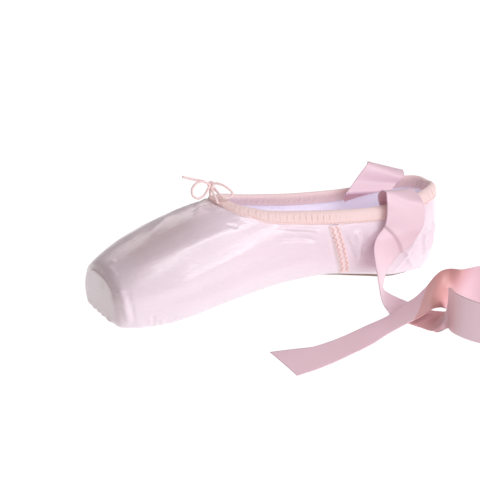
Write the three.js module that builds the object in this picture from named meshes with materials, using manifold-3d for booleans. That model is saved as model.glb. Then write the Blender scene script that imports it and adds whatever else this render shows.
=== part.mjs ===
// Pointe shoe: a satin upper over a stiff box, leather sole, inner sole, collar casing with its
// drawstring bow, side seams and two ankle ribbons.
// Millimetres, +Z up. The toe points towards -X, the heel towards +X, and the floor is Z = 0.
import * as THREE from 'three';
import manifoldModule from 'manifold-3d';

// Sizes of the last, outside the satin
const shoeLength = 235;
const heelWidth = 53;
const waistWidth = 52;
const ballWidth = 69;
const toeWidth = 60;
const platformWidth = 48;
const platformHeight = 28.5;
const instepHeight = 64.5;
const bellyHeight = 20;
const archRise = 9.4;
const heelCurl = 20;
const toeLift = 2.6;

// Collar, measured up from the floor
const collarBackHeight = 55.5;
const collarSideHeight = 49;
const vampLength = 83;

// Walls and plates
const quarterWall = 1.5;
const boxWall = 3;
const soleThickness = 2.4;
const insoleThickness = 2;
const insoleEnd = 0.97;
const clearance = 0.3;

// Leather sole, pear shaped
const soleForeWidth = 47;
const soleWaistWidth = 27;
const soleHeelWidth = 36;
const soleUnderlap = 5;
const soleToeGap = 17;
const soleHeelGap = 13;

// Trim
const casingHeight = 8;
const casingThickness = 0.8;
const seamWidth = 8;
const seamThickness = 0.6;
const seamFootLift = 2.5;

// Ribbons and drawstring
const ribbonWidth = 25;
const ribbonThickness = 0.5;
const cordDiameter = 1.5;
const cordSides = 8;
const knotRadius = 2.2;
const knotForward = 9;
const knotLift = 10.1;

// Faceting
const lowerSteps = 5;
const upperSteps = 8;

const heelX = (shoeLength - clearance - casingThickness) / 2;
const underZ = soleThickness + clearance;

// One row for each section of the last, from the back of the heel (at 0) to the platform (at 1).
// wide and flat are shares of half the breadth, lift of its rise, belly of the belly height, and
// crown of the height named in top.
const LAST_COLUMNS = ['at', 'breadth', 'wide', 'flat', 'rise', 'lift', 'belly', 'top', 'crown'];
const LAST = [
  [0.0, heelWidth, 0.34, 0.1, heelCurl, 1.0, 1.6, instepHeight, 0.96],
  [0.008, heelWidth, 0.51, 0.3, heelCurl, 0.62, 1.46, instepHeight, 0.97],
  [0.035, heelWidth, 0.77, 0.6, heelCurl, 0.17, 1.25, instepHeight, 0.975],
  [0.08, heelWidth, 0.945, 0.79, heelCurl, 0.008, 1.08, instepHeight, 0.98],
  [0.11, heelWidth, 0.985, 0.805, heelCurl, 0.0, 1.03, instepHeight, 0.98],
  [0.156, heelWidth, 1.0, 0.81, archRise, 0.0, 1.0, instepHeight, 0.98],
  [0.26, heelWidth, 1.01, 0.79, archRise, 0.42, 1.08, instepHeight, 0.99],
  [0.4, waistWidth, 1.0, 0.76, archRise, 0.95, 1.2, instepHeight, 1.0],
  [0.52, waistWidth, 1.08, 0.82, archRise, 1.0, 1.27, instepHeight, 1.0],
  [0.64, ballWidth, 0.94, 0.74, archRise, 0.86, 1.3, instepHeight, 0.995],
  [0.72, ballWidth, 1.0, 0.79, archRise, 0.62, 1.2, instepHeight, 0.955],
  [0.81, ballWidth, 1.0, 0.8, archRise, 0.2, 1.0, instepHeight, 0.865],
  [0.89, toeWidth, 1.09, 0.88, toeLift, 0.0, 0.87, instepHeight, 0.751],
  [0.93, toeWidth, 1.04, 0.84, toeLift, 0.0, 0.83, instepHeight, 0.682],
  [0.96, toeWidth, 0.99, 0.8, toeLift, 0.12, 0.8, platformHeight, 1.4],
  [0.99, platformWidth, 1.1, 0.8, toeLift, 0.45, 0.76, platformHeight, 1.22],
  [1.0, platformWidth, 0.94, 0.6, toeLift, 1.0, 0.78, platformHeight, 1.08],
].map((row) => Object.fromEntries(LAST_COLUMNS.map((name, i) => [name, row[i]])));

// Collar edge seen from the side. place runs from the back of the heel (0) to the throat (1).
// Near the throat the edge is a share of the crown, so that it closes in a round U.
const COLLAR = [
  { place: 0.0, of: collarBackHeight, high: 1.0 },
  { place: 0.08, of: collarBackHeight, high: 0.98 },
  { place: 0.19, of: collarBackHeight, high: 0.93 },
  { place: 0.34, of: collarSideHeight, high: 1.02 },
  { place: 0.54, of: collarSideHeight, high: 1.06 },
  { place: 0.74, of: collarSideHeight, high: 1.135 },
  { place: 0.87, of: instepHeight, high: 0.91 },
  { place: 0.93, of: instepHeight, high: 0.947 },
  { place: 0.965, of: instepHeight, high: 0.967 },
  { place: 0.985, of: instepHeight, high: 0.98 },
  { place: 1.0, of: instepHeight, high: 0.995 },
];

// Outline of the leather sole. place runs from its heel end (0) to its toe end (1).
const SOLE = [
  { place: 0.0, breadth: soleHeelWidth, wide: 0.9 },
  { place: 0.14, breadth: soleHeelWidth, wide: 1.0 },
  { place: 0.45, breadth: soleWaistWidth, wide: 1.0 },
  { place: 0.62, breadth: soleWaistWidth, wide: 1.22 },
  { place: 0.86, breadth: soleForeWidth, wide: 1.0 },
  { place: 1.0, breadth: soleForeWidth, wide: 0.93 },
];

// Middle line of each side seam, top then bottom, as places along the last.
const seamTopAt = 0.372;
const seamFootAt = 0.335;

// Near ribbon, from its sewn end inside the quarter: over the collar, down to the floor, round a
// loop that stands on edge, then under its own start to the cut end. The points are the middle of
// the ribbon, and across points from its toe side edge to its other edge. Wide is the share of the
// width where across runs slantwise over the ribbon, and is 1 where it isn't stated.
const NEAR_RIBBON = [
  { at: [81, -23, 33], across: [1, 0.03, 0] },
  { at: [81, -20, 42.5], across: [1, 0.03, 0] },
  { at: [81, -18.2, 46], across: [1, 0.04, 0] },
  { at: [81, -15.6, 50], across: [1, 0.05, 0] },
  { at: [81, -13.9, 52.6], across: [1, 0.06, 0] },
  { at: [81, -13.4, 55.6], across: [1, 0.06, -0.02] },
  { at: [80.8, -17.5, 58.6], across: [0.98, 0.03, -0.1] },
  { at: [80.3, -22.5, 57.8], across: [0.97, 0, -0.2] },
  { at: [79.6, -27, 54], across: [0.96, -0.2, -0.15] },
  { at: [78.6, -30.5, 47], across: [0.94, -0.32, -0.1] },
  { at: [75.5, -33, 38.5], across: [0.93, -0.34, -0.1] },
  { at: [68, -34, 31.5], across: [0.93, -0.1, -0.3] },
  { at: [62, -34.5, 24], across: [0.85, 0.25, -0.45] },
  { at: [58.5, -36, 16], across: [0.7, 0.5, -0.5] },
  { at: [56, -39.5, 9.5], across: [0.6, 0.6, -0.5] },
  { at: [52.5, -46, 5.8], across: [0.58, 0.7, -0.36] },
  { at: [50, -54, 3.6], across: [0.65, 0.7, -0.2] },
  { at: [50, -62, 1.9], across: [0.75, 0.64, -0.08] },
  { at: [51, -69, 0.9], across: [0.85, 0.53, 0] },
  { at: [52.5, -76, 0.8], across: [0.88, 0.47, 0] },
  { at: [54.5, -83, 0.9], across: [0.9, 0.43, 0.02] },
  { at: [57, -90.5, 1.6], across: [0.87, 0.47, 0.06] },
  { at: [59.8, -97.5, 3], across: [0.8, 0.5, 0.15] },
  { at: [60.8, -103, 13], across: [0.05, 0.1, 0.99] },
  { at: [59.5, -110, 13], across: [0, 0, 1] },
  { at: [60.5, -121, 13], across: [0, 0, 1] },
  { at: [65, -132, 13], across: [0, 0, 1] },
  { at: [74, -143, 13], across: [0, 0, 1] },
  { at: [88, -148, 13], across: [0, 0, 1] },
  { at: [103, -143, 13], across: [0, 0, 1] },
  { at: [114, -131, 13], across: [0, 0, 1] },
  { at: [118, -114, 13], across: [0, 0, 1] },
  { at: [114, -96, 13], across: [0, 0, 1] },
  { at: [102, -83, 13], across: [0, 0, 1] },
  { at: [86, -82, 13], across: [0, 0, 1] },
  { at: [77.5, -80.8, 13.8], across: [0.2, 0.42, 0.88] },
  { at: [69.5, -82, 14.8], across: [0.38, 0.78, 0.5] },
  { at: [61, -83.5, 12.2], across: [0.45, 0.88, 0.12] },
  { at: [53, -84, 8.2], across: [0.46, 0.88, 0.02] },
  { at: [44, -83.5, 4.8], across: [0.48, 0.87, 0.01] },
  { at: [30, -86, 1.5], across: [0.55, 0.83, 0.02] },
  { at: [14, -91.5, 0.9], across: [0.42, 0.9, 0] },
  { at: [-3, -97, 0.8], across: [0.36, 0.93, 0] },
  { at: [-16, -100.5, 0.8], across: [0.3, 0.95, 0] },
  { at: [-29, -103, 0.8], across: [0.25, 0.97, 0] },
  { at: [-51.5, -102.5, 0.8], across: [0.05, 1, 0], wide: 1.3 },
];

// Far ribbon: over the far side of the collar, then loose on the floor behind the shoe.
const FAR_RIBBON = [
  { at: [78, 16.6, 45.2], across: [0.98, -0.04, 0.17], wide: 1.15 },
  { at: [77.5, 13.5, 48], across: [1, -0.08, -0.03], wide: 1.2 },
  { at: [75.5, 7.8, 49.9], across: [0.99, -0.09, -0.07], wide: 1.34 },
  { at: [82.9, 10, 55.2], across: [0.98, -0.13, -0.15], wide: 1.25 },
  { at: [91.5, 11.4, 62.3], across: [0.9, -0.22, -0.37], wide: 1.11 },
  { at: [96, 19, 62.6], across: [0.93, -0.23, -0.29], wide: 1.03 },
  { at: [100, 27, 58], across: [0.92, -0.16, -0.36] },
  { at: [104, 35, 51], across: [0.9, -0.12, -0.42] },
  { at: [106, 42, 40], across: [0.9, -0.2, -0.35] },
  { at: [104, 45, 27], across: [0.95, -0.2, -0.2] },
  { at: [99, 48, 14], across: [0.9, 0.1, -0.4] },
  { at: [91, 52, 5], across: [0.6, 0.75, -0.25] },
  { at: [79, 55.5, 1.4], across: [0.3, 0.95, 0] },
  { at: [64, 57.5, 0.8], across: [0.1, 1, 0] },
  { at: [44, 58.5, 0.8], across: [0, 1, 0] },
  { at: [22, 59, 0.8], across: [0.05, 1, 0] },
  { at: [0, 61.5, 0.8], across: [0.15, 1, 0] },
  { at: [-20, 66, 0.8], across: [0.3, 0.95, 0] },
  { at: [-37, 74, 0.8], across: [0.6, 0.8, 0] },
  { at: [-46, 88, 0.8], across: [0.97, 0.2, 0] },
  { at: [-41, 104, 0.8], across: [0.85, -0.5, 0] },
  { at: [-27, 115, 0.8], across: [0.45, -0.9, 0] },
  { at: [-8, 120, 0.8], across: [0.15, -1, 0] },
  { at: [14, 121, 0.8], across: [0, -1, 0] },
  { at: [36, 119.5, 0.8], across: [-0.1, -1, 0] },
  { at: [58, 117, 0.8], across: [-0.12, -1, 0] },
  { at: [80, 115, 0.8], across: [-0.08, -1, 0] },
];

// Drawstring bow, as points from the middle of its knot. An end named knot stops just short of it.
const BOW = [
  { name: 'drawstring_far', start: 'casing', end: 'knot', points: [
    [1.4, 3, -9.8], [0.6, 2.4, -5.4], [0.2, 1, -2]] },
  { name: 'drawstring_near', start: 'casing', end: 'knot', points: [
    [1.4, -6.4, -10], [0.2, -4.4, -5.4], [-0.2, -1.6, -2]] },
  { name: 'bow_loop_left', start: 'knot', end: 'knot', points: [
    [-2, -0.8, 0.8], [-6, -1.6, 3.6], [-10, -1.6, 3.4], [-13.4, -1.6, 0.2],
    [-13.2, -1.6, -4], [-9.6, -1.6, -6.6], [-5.6, -1.6, -5.4], [-2, -1, -1]] },
  { name: 'bow_loop_right', start: 'knot', end: 'knot', points: [
    [2, -0.8, 0.8], [5.6, -3.5, 0.4], [9, -5.5, -2], [11.3, -6.5, -4.9],
    [9.5, -7.5, -6.7], [5.4, -7.2, -6.8], [2.9, -4.4, -4.4], [1.5, -1.4, -1.6]] },
  { name: 'bow_end_left', start: 'knot', end: 'free', points: [
    [-1.8, 1.3, 1.2], [-6, 2.6, 3], [-9.5, 3, 3.9], [-17.5, 3, 6.8]] },
  { name: 'bow_end_right', start: 'knot', end: 'free', points: [
    [1.4, 1.8, -1], [3, 3.6, -3], [5.4, 4.4, -5.4], [7.2, 4.6, -6.8]] },
];

const manifold = await manifoldModule();
manifold.setup();

// Slopes of a smooth curve through knots that never overshoots them.
function knotSlopes(xs, ys) {
  const steps = xs.slice(1).map((x, i) => (ys[i + 1] - ys[i]) / (x - xs[i]));
  return xs.map((x, i) => {
    if (i === 0) return steps[0];
    if (i === xs.length - 1) return steps[i - 1];
    if (steps[i - 1] * steps[i] <= 0) return 0;
    return (2 * steps[i - 1] * steps[i]) / (steps[i - 1] + steps[i]);
  });
}

function smoothCurve(xs, ys) {
  const slopes = knotSlopes(xs, ys);
  return (x) => {
    const held = Math.min(Math.max(x, xs[0]), xs[xs.length - 1]);
    let i = 0;
    while (i < xs.length - 2 && held > xs[i + 1]) i += 1;
    const span = xs[i + 1] - xs[i];
    const t = (held - xs[i]) / span;
    const a = (1 + 2 * t) * (1 - t) * (1 - t);
    const b = t * (1 - t) * (1 - t) * span;
    const c = t * t * (3 - 2 * t);
    const d = t * t * (t - 1) * span;
    return a * ys[i] + b * slopes[i] + c * ys[i + 1] + d * slopes[i + 1];
  };
}

const places = LAST.map((row) => row.at);
const halfWidth = smoothCurve(places, LAST.map((row) => (row.breadth / 2) * row.wide));
const halfFlat = smoothCurve(places, LAST.map((row) => (row.breadth / 2) * row.flat));
const underside = smoothCurve(places, LAST.map((row) => underZ + row.rise * row.lift));
const belly = smoothCurve(places, LAST.map((row) => bellyHeight * row.belly));
const crown = smoothCurve(places, LAST.map((row) => row.top * row.crown));
const throatAt = 1 - vampLength / shoeLength;
const collarCurve = smoothCurve(COLLAR.map((row) => row.place), COLLAR.map((row) => row.of * row.high));
const collarHeight = (at) => collarCurve(at / throatAt);

const alongX = (at) => heelX - shoeLength * at;

// Half of one section, from the middle of the underside round to the crown, as [y, z] pairs.
function halfSection(at) {
  const wide = halfWidth(at);
  const flat = halfFlat(at);
  const low = underside(at);
  const mid = belly(at);
  const high = crown(at);
  const points = [[0, low], [flat / 2, low]];
  for (let i = 0; i <= lowerSteps; i += 1) {
    const turn = (i / lowerSteps) * (Math.PI / 2);
    const out = Math.sin(turn);
    const drop = i === lowerSteps ? 0 : Math.cos(turn) ** 0.85;
    points.push([flat + (wide - flat) * out, mid - (mid - low) * drop]);
  }
  for (let i = 1; i <= upperSteps; i += 1) {
    const turn = (i / upperSteps) * (Math.PI / 2);
    const out = i === upperSteps ? 0 : Math.cos(turn) ** 0.9;
    points.push([wide * out, mid + (high - mid) * Math.sin(turn) ** 0.9]);
  }
  return points;
}

function sectionRing(at) {
  const half = halfSection(at);
  const left = half.slice(1, -1).reverse().map(([y, z]) => [-y, z]);
  return [...half, ...left].map(([y, z]) => new THREE.Vector3(alongX(at), y, z));
}

// Places of the rings, closer together where the ends turn in.
function ringPlaces() {
  const heel = [0, 0.005, 0.015, 0.03, 0.052, 0.082, 0.115];
  const body = Array.from({ length: 18 }, (_, i) => 0.155 + i * 0.0435);
  const toe = [0.928, 0.95, 0.967, 0.981, 0.991, 0.997, 1];
  return [...heel, ...body, ...toe];
}

// Moves each point of the form outwards by grow(at), along its normal. Negative moves it inwards.
function grownRings(grow) {
  const ats = ringPlaces();
  const rings = ats.map(sectionRing);
  const last = rings.length - 1;
  return rings.map((ring, i) => ring.map((point, j) => {
    const before = rings[Math.max(i - 1, 0)][j];
    const after = rings[Math.min(i + 1, last)][j];
    const left = ring[(j + ring.length - 1) % ring.length];
    const right = ring[(j + 1) % ring.length];
    const normal = new THREE.Vector3().subVectors(after, before)
      .cross(new THREE.Vector3().subVectors(right, left)).normalize();
    if (i === 0) normal.x = Math.max(normal.x, 0.8);
    if (i === last) normal.x = Math.min(normal.x, -0.8);
    return point.clone().addScaledVector(normal, grow(ats[i]));
  }));
}

// Closes a stack of rings into a solid body.
function loft(rings) {
  const count = rings[0].length;
  const points = rings.flat();
  const faces = [];
  for (let i = 0; i < rings.length - 1; i += 1) {
    for (let j = 0; j < count; j += 1) {
      const a = i * count + j;
      const b = i * count + ((j + 1) % count);
      faces.push([a, a + count, b], [b, a + count, b + count]);
    }
  }
  for (const [index, flip] of [[0, false], [rings.length - 1, true]]) {
    const ring = rings[index];
    const middle = ring.reduce((sum, p) => sum.add(p), new THREE.Vector3()).divideScalar(count);
    const centre = points.push(middle) - 1;
    for (let j = 0; j < count; j += 1) {
      const a = index * count + j;
      const b = index * count + ((j + 1) % count);
      faces.push(flip ? [centre, b, a] : [centre, a, b]);
    }
  }
  return solidOf(points, faces);
}

function solidOf(points, faces) {
  const vertProperties = new Float32Array(points.flatMap((p) => [p.x, p.y, p.z]));
  const triVerts = new Uint32Array(faces.flat());
  const body = new manifold.Manifold(new manifold.Mesh({ numProp: 3, vertProperties, triVerts }));
  return body.volume() < 0 ? solidOf(points, faces.map(([a, b, c]) => [a, c, b])) : body;
}

// A prism whose outline is drawn in side view and runs across the shoe from y0 to y1.
function sidePrism(outline, y0, y1) {
  const flat = outline.map(([x, z]) => new THREE.Vector2(x, z));
  if (THREE.ShapeUtils.isClockWise(flat)) flat.reverse();
  const count = flat.length;
  const points = [y0, y1].flatMap((y) => flat.map((p) => new THREE.Vector3(p.x, y, p.y)));
  const faces = [];
  for (let j = 0; j < count; j += 1) {
    const k = (j + 1) % count;
    faces.push([j, j + count, k], [k, j + count, k + count]);
  }
  for (const triangle of THREE.ShapeUtils.triangulateShape(flat, [])) {
    const clockwise = THREE.ShapeUtils.isClockWise(triangle.map((i) => flat[i]));
    const [a, b, c] = clockwise ? [...triangle].reverse() : triangle;
    faces.push([a, b, c], [a + count, c + count, b + count]);
  }
  return solidOf(points, faces);
}

// A point of the collar edge on the outside of the last, with y on the far side.
function collarPoint(at) {
  const high = Math.min(collarHeight(at), crown(at));
  const upper = halfSection(at).slice(lowerSteps + 2);
  const i = Math.max(upper.findIndex(([, z]) => z >= high - 1e-9), 1);
  const [y0, z0] = upper[i - 1];
  const [y1, z1] = upper[i];
  return new THREE.Vector3(alongX(at), y0 + ((y1 - y0) * (high - z0)) / (z1 - z0), high);
}

// Which way the wall runs down from the collar edge at a place, square to that edge.
function downTheWall(at) {
  const step = 0.01;
  const inward = at > throatAt - step ? -step : step;
  const along = collarPoint(at + inward).sub(collarPoint(at)).multiplyScalar(Math.sign(inward));
  if (at > throatAt - 1e-6) return new THREE.Vector3(-1, 0, 0);
  const edge = collarPoint(at);
  const slope = new THREE.Vector2(halfWidth(at), crown(at) - belly(at));
  const out = new THREE.Vector3(0, edge.y / slope.x ** 2, (edge.z - belly(at)) / slope.y ** 2).normalize();
  const down = along.normalize().cross(out);
  return down.z > 0 ? down.negate() : down;
}

// Everything above the collar edge, with that edge moved down the wall by drop. Negative moves it up.
function aboveCollar(drop) {
  const steps = 34;
  const moved = Array.from({ length: steps + 1 }, (_, i) => {
    const at = throatAt * (1 - (1 - i / steps) ** 1.5);
    const point = collarPoint(at).addScaledVector(downTheWall(at), drop);
    return [point.x, point.z];
  });
  const reach = shoeLength;
  const behind = [heelX + reach, moved[0][1]];
  const outline = [behind, ...moved, [moved[steps][0], reach], [heelX + reach, reach]];
  return sidePrism(outline, -reach, reach);
}

const wallAt = smoothCurve([0, 0.5, 0.75, 1], [quarterWall, quarterWall, boxWall, boxWall]);

const outsideBy = (gap) => loft(grownRings(() => gap));
const insideBy = (gap) => loft(grownRings((at) => -wallAt(at) - gap));

// Leather sole outline: half widths along the shoe, with rounded ends.
const soleStart = soleHeelGap / shoeLength;
const soleEnd = 1 - soleToeGap / shoeLength;
const soleCurve = smoothCurve(SOLE.map((row) => row.place), SOLE.map((row) => (row.breadth / 2) * row.wide));

function soleHalfWidth(at, inset) {
  const start = soleStart + inset / shoeLength;
  const end = soleEnd - inset / shoeLength;
  const place = (at - soleStart) / (soleEnd - soleStart);
  const half = soleCurve(place) - inset;
  const rounding = (half * 0.9) / shoeLength;
  const near = Math.min(at - start, end - at);
  const bend = near >= rounding ? 1 : Math.sqrt(Math.max(1 - (1 - near / rounding) ** 2, 0));
  return half * bend;
}

// Places along a plate: close together at its round ends, and at the rings of the last between.
function platePlaces(start, end) {
  const ends = [0.0015, 0.007, 0.018, 0.036, 0.062];
  const heel = ends.map((share) => start + (end - start) * share);
  const toe = ends.map((share) => end - (end - start) * share).reverse();
  const middle = ringPlaces().filter((at) => at > heel[heel.length - 1] + 0.01 && at < toe[0] - 0.01);
  return [...heel, ...middle, ...toe];
}

// Height of one section's underside at a distance from the middle line.
function sectionUnderside(at, y) {
  const half = halfSection(at).slice(0, lowerSteps + 3);
  const out = Math.min(Math.abs(y), half[half.length - 1][0] - 0.01);
  const i = half.findIndex(([edge]) => edge > out);
  const [y0, z0] = half[i - 1];
  const [y1, z1] = half[i];
  return z0 + ((z1 - z0) * (out - y0)) / (y1 - y0);
}

// Height of the faceted underside, straight from one ring to the next.
function undersideAt(at, y) {
  const ats = ringPlaces();
  const i = Math.max(ats.findIndex((place) => place >= at), 1);
  const share = (at - ats[i - 1]) / (ats[i] - ats[i - 1]);
  return sectionUnderside(ats[i - 1], y) * (1 - share) + sectionUnderside(ats[i], y) * share;
}

// Outline of a plate under the shoe as [at, half width], drawn in from the sole's edge by inset and
// then shrunk by gap square to itself.
function plateOutline(inset, gap) {
  const start = soleStart + inset / shoeLength;
  const end = soleEnd - inset / shoeLength;
  const outline = platePlaces(start, end).map((at) => [at, soleHalfWidth(at, inset)]);
  return outline.map(([at, half], i) => {
    const [at0, half0] = outline[Math.max(i - 1, 0)];
    const [at1, half1] = outline[Math.min(i + 1, outline.length - 1)];
    const run = new THREE.Vector2((at1 - at0) * shoeLength, half1 - half0).normalize();
    return [at + (run.y * gap) / shoeLength, Math.max(half - run.x * gap, gap)];
  });
}

// A plate that follows the underside: bottom and top give its heights at a place and a y.
function plate(inset, gap, bottom, top) {
  const shares = [-1, -0.7, 0, 0.7, 1];
  const rings = plateOutline(inset, gap).map(([at, half]) => {
    const edge = (height, y) => new THREE.Vector3(alongX(at), y, height(at, y));
    const low = shares.map((share) => edge(bottom, share * half));
    const high = shares.map((share) => edge(top, share * half));
    return [...low, ...high.reverse()];
  });
  return loft(rings);
}

function makeOutsole() {
  const top = (at, y) => undersideAt(at, y) - clearance;
  const bottom = (at) => undersideAt(at, 0) - clearance - soleThickness;
  return plate(0, 0, bottom, top);
}

function makeUpper() {
  const shell = outsideBy(0).subtract(insideBy(0)).subtract(aboveCollar(0));
  const opening = plate(soleUnderlap, 0, () => -soleThickness, (at) => undersideAt(at, 0) + boxWall * 1.5);
  return shell.subtract(opening);
}

// The inner sole fills the floor of the cavity, and its middle drops into the opening underneath.
function makeInsole() {
  const cavity = insideBy(clearance);
  const level = (at) => undersideAt(at, 0) + wallAt(at) + clearance + insoleThickness;
  const rings = ringPlaces().filter((at) => at < insoleEnd).map((at) => {
    const x = alongX(at);
    const out = ballWidth;
    return [[-out, -out], [out, -out], [out, level(at)], [-out, level(at)]]
      .map(([y, z]) => new THREE.Vector3(x, y, z));
  });
  const board = cavity.intersect(loft(rings));
  const step = plate(soleUnderlap, clearance, undersideAt, (at) => level(at) - insoleThickness / 2);
  return board.add(step);
}

function makeCasing() {
  const outer = clearance + casingThickness;
  const wide = outsideBy(outer).subtract(insideBy(outer));
  const slot = outsideBy(clearance).subtract(insideBy(clearance)).subtract(aboveCollar(-clearance));
  return wide.intersect(aboveCollar(casingHeight)).subtract(aboveCollar(-outer)).subtract(slot);
}

function makeSideSeam(side) {
  const band = outsideBy(clearance + seamThickness).subtract(outsideBy(clearance));
  const topZ = collarHeight(seamTopAt);
  const half = seamWidth / 2;
  const topX = alongX(seamTopAt);
  const footX = alongX(seamFootAt);
  const footZ = underside(seamFootAt) + seamFootLift;
  const outline = [[footX - half, footZ], [footX + half, footZ], [topX + half, topZ], [topX - half, topZ]];
  const cut = sidePrism(outline, Math.min(0, side * ballWidth), Math.max(0, side * ballWidth));
  return band.intersect(cut).subtract(aboveCollar(casingHeight + clearance));
}

// A flat ribbon through its rows, with the middle and the direction across both eased between them.
function ribbon(rows) {
  const middle = new THREE.CatmullRomCurve3(rows.map((row) => new THREE.Vector3(...row.at)));
  const across = new THREE.CatmullRomCurve3(rows.map((row) => new THREE.Vector3(...row.across)));
  const wides = rows.map((row) => row.wide ?? 1);
  const steps = (rows.length - 1) * 2;
  const rings = Array.from({ length: steps + 1 }, (_, i) => {
    const centre = middle.getPoint(i / steps);
    const along = middle.getTangent(i / steps);
    const side = across.getPoint(i / steps).normalize();
    const face = along.cross(side).normalize().multiplyScalar(ribbonThickness / 2);
    const place = (i / steps) * (rows.length - 1);
    const wide = THREE.MathUtils.lerp(wides[Math.floor(place)], wides[Math.ceil(place)], place % 1);
    side.multiplyScalar((ribbonWidth / 2) * wide);
    const lowest = centre.z - Math.abs(side.z) - Math.abs(face.z);
    centre.z += Math.max(clearance - lowest, 0);
    return [[-1, -1], [1, -1], [1, 1], [-1, 1]]
      .map(([a, b]) => centre.clone().addScaledVector(side, a).addScaledVector(face, b));
  });
  return loft(rings);
}

function knotCentre() {
  return new THREE.Vector3(alongX(throatAt) - knotForward, 0, instepHeight + knotLift);
}

function cordAlong(row) {
  const offsets = row.points.map((offset) => new THREE.Vector3(...offset));
  if (row.start === 'knot') offsets[0].setLength(knotRadius + 2 * clearance);
  if (row.end === 'knot') offsets[offsets.length - 1].setLength(knotRadius + 2 * clearance);
  const path = new THREE.CatmullRomCurve3(offsets.map((offset) => offset.add(knotCentre())));
  const round = Array.from({ length: cordSides }, (_, i) => {
    const turn = (i / cordSides) * Math.PI * 2;
    return new THREE.Vector2(Math.cos(turn), Math.sin(turn)).multiplyScalar(cordDiameter / 2);
  });
  const steps = Math.max(4, Math.round(path.getLength() / (cordDiameter * 1.6)));
  return new THREE.ExtrudeGeometry(new THREE.Shape(round), { steps, bevelEnabled: false, extrudePath: path });
}

function makeKnot() {
  const rows = 8;
  const profile = Array.from({ length: rows + 1 }, (_, i) => {
    const turn = (i / rows) * Math.PI - Math.PI / 2;
    const out = i === 0 || i === rows ? 0 : Math.cos(turn);
    return new THREE.Vector2(knotRadius * out, knotRadius * Math.sin(turn));
  });
  return new THREE.LatheGeometry(profile, 12).rotateX(Math.PI / 2).translate(...knotCentre().toArray());
}

function named(name, geometry, look) {
  const mesh = new THREE.Mesh(geometry, new THREE.MeshStandardMaterial(look));
  mesh.name = name;
  return mesh;
}

function meshOf(name, body, look) {
  const { vertProperties, triVerts } = body.getMesh();
  const geometry = new THREE.BufferGeometry();
  geometry.setAttribute('position', new THREE.BufferAttribute(new Float32Array(vertProperties), 3));
  geometry.setIndex(Array.from(triVerts));
  geometry.computeVertexNormals();
  return named(name, geometry, look);
}

const satin = { color: 0xeedde4, roughness: 0.35, metalness: 0 };
const tape = { color: 0xf4dcd6, roughness: 0.8, metalness: 0 };
const leather = { color: 0xcdb5a0, roughness: 0.75, metalness: 0 };
const lining = { color: 0xece6ee, roughness: 0.9, metalness: 0 };
const ribbonSatin = { color: 0xe6c6d2, roughness: 0.4, metalness: 0 };

const shoe = new THREE.Group();
shoe.name = 'pointe_shoe';
shoe.add(
  meshOf('upper', makeUpper(), satin),
  meshOf('outsole', makeOutsole(), leather),
  meshOf('insole', makeInsole(), lining),
  meshOf('collar_casing', makeCasing(), tape),
  meshOf('side_seam_near', makeSideSeam(-1), tape),
  meshOf('side_seam_far', makeSideSeam(1), tape),
  meshOf('ribbon_near', ribbon(NEAR_RIBBON), ribbonSatin),
  meshOf('ribbon_far', ribbon(FAR_RIBBON), ribbonSatin),
  named('bow_knot', makeKnot(), tape),
  ...BOW.map((row) => named(row.name, cordAlong(row), tape)),
);

export default shoe;
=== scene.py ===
"""Looks of the pointe shoe: satin skin, lining, gathered casing, bow, seams, sole and ankle ribbons.

Lengths are millimetres until a mesh is made, and then metres. The toe points towards -X.
"""
import math

import bpy
import numpy as np
from mathutils import Matrix, Vector
from mathutils.bvhtree import BVHTree


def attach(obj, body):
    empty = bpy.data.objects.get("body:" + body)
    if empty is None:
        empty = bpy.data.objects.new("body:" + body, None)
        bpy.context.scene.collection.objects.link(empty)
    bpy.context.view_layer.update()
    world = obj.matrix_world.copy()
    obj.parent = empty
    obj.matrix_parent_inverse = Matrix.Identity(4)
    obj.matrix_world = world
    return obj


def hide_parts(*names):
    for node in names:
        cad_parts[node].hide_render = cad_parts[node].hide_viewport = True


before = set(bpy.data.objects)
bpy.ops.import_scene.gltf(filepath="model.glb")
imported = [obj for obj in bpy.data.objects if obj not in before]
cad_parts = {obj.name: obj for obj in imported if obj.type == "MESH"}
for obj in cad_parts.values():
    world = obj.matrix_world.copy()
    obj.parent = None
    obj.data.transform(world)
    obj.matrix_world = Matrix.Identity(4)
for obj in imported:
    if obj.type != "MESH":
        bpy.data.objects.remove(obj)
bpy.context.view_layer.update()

MM = 0.001

# Sizes of the last, as in the part's source
SHOE_LENGTH = 235
HEEL_WIDTH = 53
WAIST_WIDTH = 52
BALL_WIDTH = 69
TOE_WIDTH = 60
PLATFORM_WIDTH = 48
PLATFORM_HEIGHT = 28.5
INSTEP_HEIGHT = 64.5
BELLY_HEIGHT = 20
ARCH_RISE = 9.4
HEEL_CURL = 20
TOE_LIFT = 2.6
COLLAR_BACK = 55.5
COLLAR_SIDE = 49
VAMP_LENGTH = 83
QUARTER_WALL = 1.5
BOX_WALL = 3
SOLE_THICKNESS = 2.4
CLEARANCE = 0.3
SOLE_FORE_WIDTH = 47
SOLE_WAIST_WIDTH = 27
SOLE_HEEL_WIDTH = 36
SOLE_UNDERLAP = 5
SOLE_TOE_GAP = 17
SOLE_HEEL_GAP = 13
CASING_HEIGHT = 8
CASING_THICKNESS = 0.8
SEAM_WIDTH = 8
SEAM_THICKNESS = 0.6
SEAM_FOOT_LIFT = 2.5
SEAM_TOP_AT = 0.372
SEAM_FOOT_AT = 0.335
RIBBON_WIDTH = 25
RIBBON_THICKNESS = 0.5
CORD_DIAMETER = 1.5
KNOT_RADIUS = 2.2
KNOT_FORWARD = 9
KNOT_LIFT = 10.1

HEEL_X = (SHOE_LENGTH - CLEARANCE - CASING_THICKNESS) / 2
UNDER_Z = SOLE_THICKNESS + CLEARANCE
THROAT_AT = 1 - VAMP_LENGTH / SHOE_LENGTH

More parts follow.
